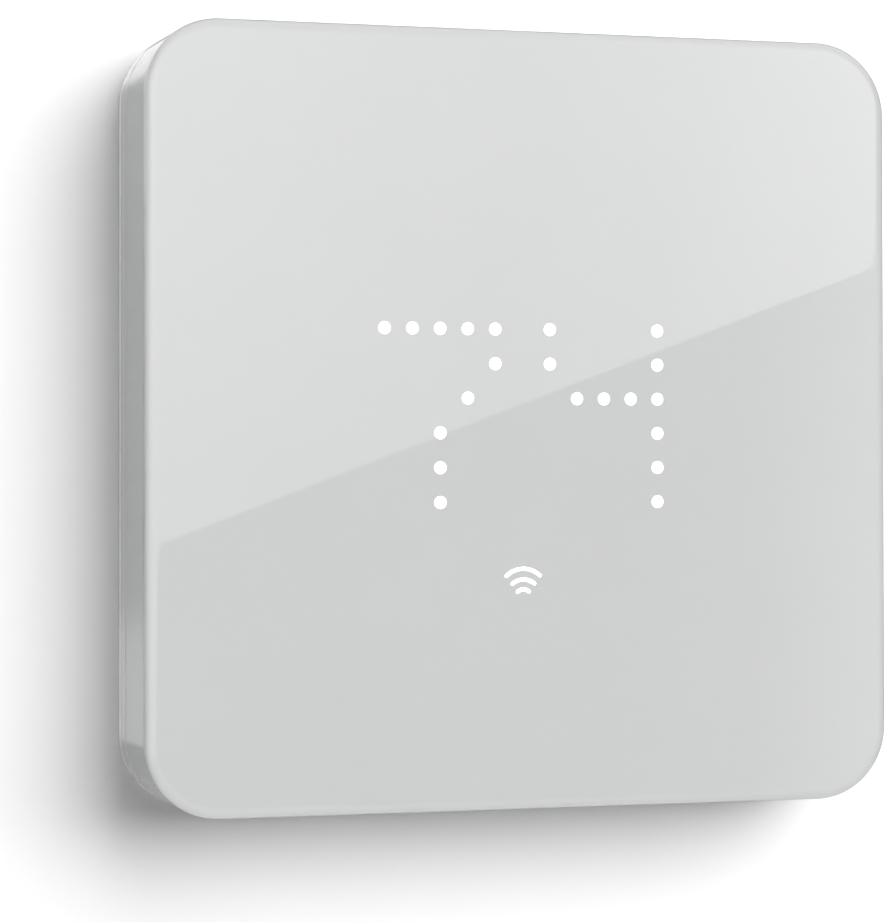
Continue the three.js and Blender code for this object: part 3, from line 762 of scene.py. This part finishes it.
for side in ("left", "right"):
    inner, outer = f"battery_{side}_inner", f"battery_{side}_outer"
    for name in (inner, outer):
        dress(cell(name), cell_jacket, "head", [name])
        plate_name = name.replace("battery", "battery_contact")
        dress(contact(plate_name, [name], -1), nickel, "head", [plate_name])
    bridge = f"battery_bridge_{side}"
    dress(contact(bridge, [inner, outer], 1), nickel, "head", [bridge])
for k in range(1, 5):
    name = f"cover_screw_{k}"
    dress(cover_screw(name), steel, "head", [name])

# CAD nodes that stay get softened edges and their slot's material.
LOOKS = {
    "display_light": diffuser_white,
    "touch_film": touch_film,
    "black_plastic": black_plastic,
    "board_green": board_green,
    "terminal_grey": terminal_grey,
    "button_orange": button_orange,
    "steel": steel,
    "nickel": nickel,
    "plate_matte": plate_matte,
}
NO_ROUNDING = {"display_baffle", "led_board", "touch_film", "display_diffuser"}
slot_of = {s["node"]: s["material_slot"] for s in frame["record"]["subparts"]}
for name, node in nodes.items():
    if node.hide_render:
        continue
    dress(node, LOOKS[slot_of[name]])
    if name not in NO_ROUNDING:
        soften(node, 0.08)

# ---------------------------------------------------------------- stage


def stage_plane(name, corners, material, hole=None):
    """A plane with four corners, and an optional hole given as points."""

    def build(bm):
        outer = [bm.verts.new(c) for c in corners]
        if hole is None:
            bm.faces.new(outer)
            return
        inner = [bm.verts.new(p) for p in hole]
        edges = []
        for ring in (outer, inner):
            edges += [bm.edges.new(pair) for pair in zip(ring, ring[1:] + ring[:1])]
        bmesh.ops.triangle_fill(bm, edges=edges, use_beauty=True)

    obj = new_object(name, build)
    obj.data.materials.append(material)
    return obj


def upright_corners(left, right, bottom, top, depth):
    """Corners of a plane that is parallel to the wall."""
    return [at(x, up, depth) for x, up in ((left, bottom), (right, bottom), (right, top), (left, top))]


def level_corners(left, right, back, front, up):
    """Corners of a level plane."""
    return [at(x, up, depth) for x, depth in ((left, back), (right, back), (right, front), (left, front))]


def end_corners(bottom, top, back, front, x):
    """Corners of a plane that stands square to the wall."""
    return [at(x, up, depth) for up, depth in ((bottom, back), (bottom, front), (top, front), (top, back))]


def wall_material():
    """Plain white wall, which the camera sees through when it stands behind it."""
    n = Nodes("wall_white")
    tones = ((0.88, 0.875, 0.88), (0.90, 0.895, 0.90))
    n.link(n.ramp(n.noise(6, detail=2), 0.3, 0.7, tones), n.shader.inputs["Base Color"])
    n.set(Roughness=0.9, Specular_IOR_Level=0.0)
    output = n.tree.nodes["Material Output"]
    behind = n.add("ShaderNodeNewGeometry").outputs["Backfacing"]
    seen = n.add("ShaderNodeLightPath").outputs["Is Camera Ray"]
    both = n.add("ShaderNodeMath", operation="MULTIPLY")
    n.link(behind, both.inputs[0])
    n.link(seen, both.inputs[1])
    mix = n.add("ShaderNodeMixShader")
    n.link(both.outputs[0], mix.inputs[0])
    n.link(n.shader.outputs[0], mix.inputs[1])
    n.link(n.add("ShaderNodeBsdfTransparent").outputs[0], mix.inputs[2])
    n.link(mix.outputs[0], output.inputs["Surface"])
    return n.material


WALL_HALF, FLOOR_UP, FLOOR_REACH = 3000, -1200, 900
WALL_DEPTH = -0.05  # just behind the wall plate, with a hole behind the plate itself
wall_corners = upright_corners(-WALL_HALF, WALL_HALF, FLOOR_UP, WALL_HALF, WALL_DEPTH)
wall_hole = [at(x, up, WALL_DEPTH) for x, up in square(PLATE_INSET + 0.1)]
wall = stage_plane("wall", wall_corners, wall_material(), wall_hole)
if wall.data.polygons[0].normal.y > 0:
    wall.data.flip_normals()
floor_white = plastic("floor_white", (0.80, 0.80, 0.80), 0.6, level=0.0)
stage_plane("floor", level_corners(-WALL_HALF, WALL_HALF, 0, FLOOR_REACH, FLOOR_UP), floor_white)
wall.visible_glossy = False  # the sides' gloss takes its tone from the card behind the wall

WORLD_RADIANCE = 0.27
BACKDROP_RADIANCE = 0.85  # what the camera sees where it looks past the wall

world = bpy.data.worlds.new("studio")
bpy.context.scene.world = world
world.use_nodes = True
sky = world.node_tree
sky.nodes["Background"].inputs["Color"].default_value = (1.0, 1.0, 1.0, 1)
backdrop = sky.nodes.new("ShaderNodeMapRange")
backdrop.inputs["To Min"].default_value = WORLD_RADIANCE
backdrop.inputs["To Max"].default_value = BACKDROP_RADIANCE
camera_ray = sky.nodes.new("ShaderNodeLightPath").outputs["Is Camera Ray"]
sky.links.new(camera_ray, backdrop.inputs["Value"])
sky.links.new(backdrop.outputs["Result"], sky.nodes["Background"].inputs["Strength"])


def softbox(name, centre, target, width, height, radiance):
    """Rectangular area light of an even brightness, which the camera itself doesn't see."""
    data = bpy.data.lights.new(name, "AREA")
    data.shape = "RECTANGLE"
    data.size, data.size_y = width, height
    data.energy = radiance * math.pi * width * height
    obj = bpy.data.objects.new(name, data)
    direction = (Vector(target) - Vector(centre)).normalized()
    obj.rotation_euler = direction.to_track_quat("-Z", "Y").to_euler()
    obj.location = centre
    obj.visible_camera = False
    bpy.context.scene.collection.objects.link(obj)
    return obj


CARD_SCALE = 4.0  # keeps a card's radiances within a ramp's 0 to 1


def ramp_along(n, source, stops):
    """Radiance along a coordinate, divided by CARD_SCALE, from stops of (millimetres, radiance)."""
    low, high = stops[0][0], stops[-1][0]
    place = n.add("ShaderNodeMapRange")
    place.inputs["From Min"].default_value = low * MM
    place.inputs["From Max"].default_value = high * MM
    n.link(source, place.inputs["Value"])
    ramp = n.add("ShaderNodeValToRGB")
    elements = ramp.color_ramp.elements
    elements.remove(elements[1])
    for k, (where, radiance) in enumerate(stops):
        position = (where - low) / (high - low)
        element = elements[0] if k == 0 else elements.new(position)
        element.position = position
        element.color = (*[radiance / CARD_SCALE] * 3, 1)
    n.link(place.outputs["Result"], ramp.inputs["Fac"])
    return ramp.outputs["Color"]


def gloss_card(name, corners, ramps):
    """A white card that only gloss picks up. ramps gives its brightness along one or two of the axes."""
    n = Nodes(name)
    parts = n.add("ShaderNodeSeparateXYZ")
    n.link(n.coords, parts.inputs["Vector"])
    glow = n.add("ShaderNodeEmission", Strength=CARD_SCALE ** len(ramps))
    shades = [ramp_along(n, parts.outputs[axis], stops) for axis, stops in ramps.items()]
    if len(shades) == 2:
        product = n.add("ShaderNodeVectorMath", operation="MULTIPLY")
        for source, target in zip(shades, product.inputs):
            n.link(source, target)
        shades = [product.outputs["Vector"]]
    n.link(shades[0], glow.inputs["Color"])
    n.link(glow.outputs[0], n.tree.nodes["Material Output"].inputs["Surface"])
    card = stage_plane(name, corners, n.material)
    card.visible_camera = False
    card.visible_diffuse = False
    return card


# The front reflects a card whose lower edge runs through these two points.
CARD_DEPTH = 1500
CARD_LEFT, CARD_RIGHT, CARD_TOP = -1500, 3200, 1600
(x_a, up_a), (x_b, up_b) = (263.1, -49.6), (734.8, 126.0)
slope = (up_b - up_a) / (x_b - x_a)
front_card_corners = [
    at(CARD_LEFT, up_a + slope * (CARD_LEFT - x_a), CARD_DEPTH),
    at(CARD_RIGHT, up_a + slope * (CARD_RIGHT - x_a), CARD_DEPTH),
    at(CARD_RIGHT, CARD_TOP, CARD_DEPTH),
    at(CARD_LEFT, CARD_TOP, CARD_DEPTH),
]
FRONT_CARD_ACROSS = [
    (-1400, 2.6), (-500, 2.35), (200, 2.1), (278, 2.0), (348, 1.8), (424, 1.65), (490, 1.6),
    (574, 1.8), (650, 2.25), (740, 2.9), (1250, 2.3), (2060, 1.3), (3000, 0.8),
]
FRONT_CARD_UP = [(-150, 0.85), (-50, 1.0), (263, 1.7), (700, 1.55), (1000, 1.3), (1550, 1.15)]
gloss_card("front_card", front_card_corners, {"X": FRONT_CARD_ACROSS, "Z": FRONT_CARD_UP})

# The cards around it: below its edge, above it, to both sides, under it, and behind the wall.
LOW_CARD_ACROSS = [
    (400, WORLD_RADIANCE), (560, 0.35), (650, 0.65), (740, 2.0), (1250, 2.1), (2060, 1.4), (3000, 0.9),
]
FLOOR_CARD_OUT = [
    (-3250, 1.15), (-1270, 1.35), (-750, 1.5), (-480, 1.6), (-240, 1.7), (-60, 2.0), (120, 1.7),
]
SIDE_CARD_UP = [
    (-400, 0.45), (-240, 0.38), (-150, 0.38), (-138, 0.72), (-80, 0.74),
    (-62, 0.48), (225, 0.48), (265, 1.2), (600, 1.2),
]
TOP_CARD_OUT = [(-1500, 2.2), (-400, 2.7), (300, 2.4)]
LEFT_CARD_OUT = [(-1500, 2.7), (-900, 2.2), (-400, 1.4), (-100, 1.0), (400, 0.8)]
RIGHT_CARD_OUT = [(-1500, 0.9), (-700, 1.1), (0, 1.7), (400, 1.7)]
gloss_card("low_card", upright_corners(400, CARD_RIGHT, -1500, 1500, CARD_DEPTH + 20), {"X": LOW_CARD_ACROSS})
gloss_card("top_card", level_corners(CARD_LEFT, CARD_RIGHT, -600, 1520, CARD_TOP), {"Y": TOP_CARD_OUT})
gloss_card("left_card", end_corners(-1500, CARD_TOP, -800, CARD_DEPTH, CARD_LEFT), {"Y": LEFT_CARD_OUT})
gloss_card("right_card", end_corners(-1500, CARD_TOP, -600, CARD_DEPTH, CARD_RIGHT), {"Y": RIGHT_CARD_OUT})
gloss_card("floor_card", level_corners(-1400, 1500, -600, 3300, -690), {"Y": FLOOR_CARD_OUT})
gloss_card("side_card", upright_corners(-500, 100, -600, 600, -1000), {"Z": SIDE_CARD_UP})

# One light for the wall, its shadow and the sides, one for the front, and one for the plate's thin rim.
key = softbox("key", at(800, 688, 1000), at(800, 688, 0), 1.8, 1.4, 5.08)
front_fill = softbox("front_fill", at(-100, 100, 1500), at(0, 0, 0), 1.6, 1.6, 4.1)
plate_edge = softbox("plate_edge", at(-1000, -450, 150), at(-46, 0, 0), 0.8, 0.8, 2.9)
for light, piece, state in (
    (key, front_piece, "EXCLUDE"),
    (front_fill, front_piece, "INCLUDE"),
    (plate_edge, plate_piece, "INCLUDE"),
):
    light.visible_glossy = False
    group = bpy.data.collections.new(light.name + "_receivers")
    group.objects.link(piece)
    light.light_linking.receiver_collection = group
    group.collection_objects[0].light_linking.link_state = state
softbox("behind", (-0.5, 1.4, 0.6), (0, 0, 0), 0.9, 0.9, 4.5)

# ---------------------------------------------------------------- camera

camera_data = bpy.data.cameras.new("camera")
camera_data.sensor_fit = "AUTO"
camera_data.sensor_width = 36.0
camera_data.lens = 126.146
camera = bpy.data.objects.new("camera", camera_data)
camera_data.shift_x, camera_data.shift_y = -0.0217, -0.0380
camera.location = at(-124.19, -6.80, 386.12)
YAW, PITCH, ROLL = math.radians(17.486), math.radians(0.879), math.radians(-0.098)
look = Vector((math.sin(YAW) * math.cos(PITCH), math.cos(YAW) * math.cos(PITCH), math.sin(PITCH)))
turn = look.to_track_quat("-Z", "Y") @ Matrix.Rotation(ROLL, 3, "Z").to_quaternion()
camera.rotation_euler = turn.to_euler()
camera_data.clip_start, camera_data.clip_end = 0.01, 20
bpy.context.scene.collection.objects.link(camera)
bpy.context.scene.camera = camera

bpy.context.scene.view_settings.view_transform = "Standard"
